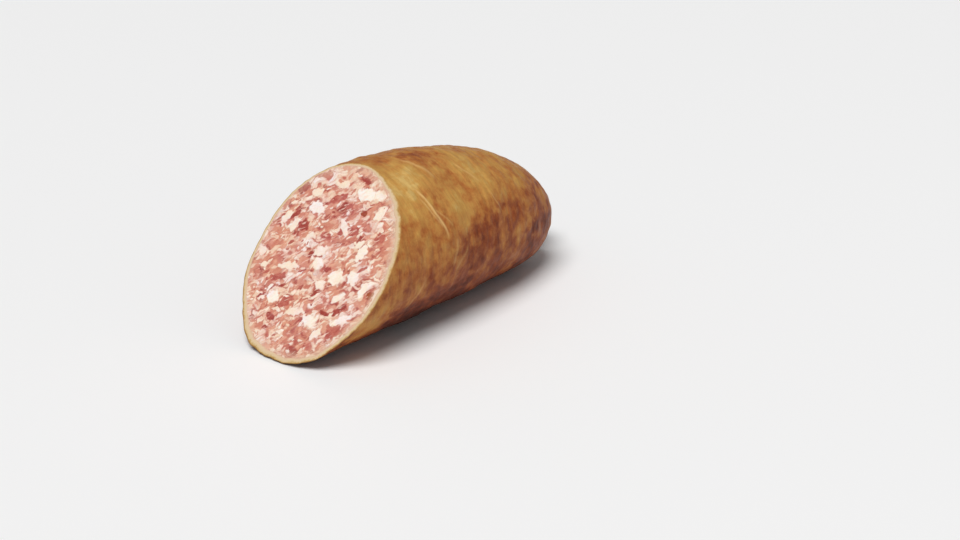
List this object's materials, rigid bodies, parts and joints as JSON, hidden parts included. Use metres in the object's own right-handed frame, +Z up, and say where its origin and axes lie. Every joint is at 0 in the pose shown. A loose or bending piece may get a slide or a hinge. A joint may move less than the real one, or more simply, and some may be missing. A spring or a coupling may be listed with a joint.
{
  "type": "cured sausage",
  "caption": "Stump of cured sausage in a natural casing, cut on the slant at one end and tied off with twine at the other.",
  "frame": {"origin": "on the table, under the middle of the sausage's length and width", "axes": "+X along the sausage towards its tied end, +Z up"},
  "size_m": [0.1478, 0.0622, 0.06],
  "materials": {
    "casing": "dry cured gut casing with a soft gloss",
    "filling": "moist coarse-cut meat and fat",
    "twine": "matte cotton twine"
  },
  "bodies": {
    "root": {"casing": "casing", "filling": "filling", "tie_twine": "twine"}
  },
  "joints": []
}
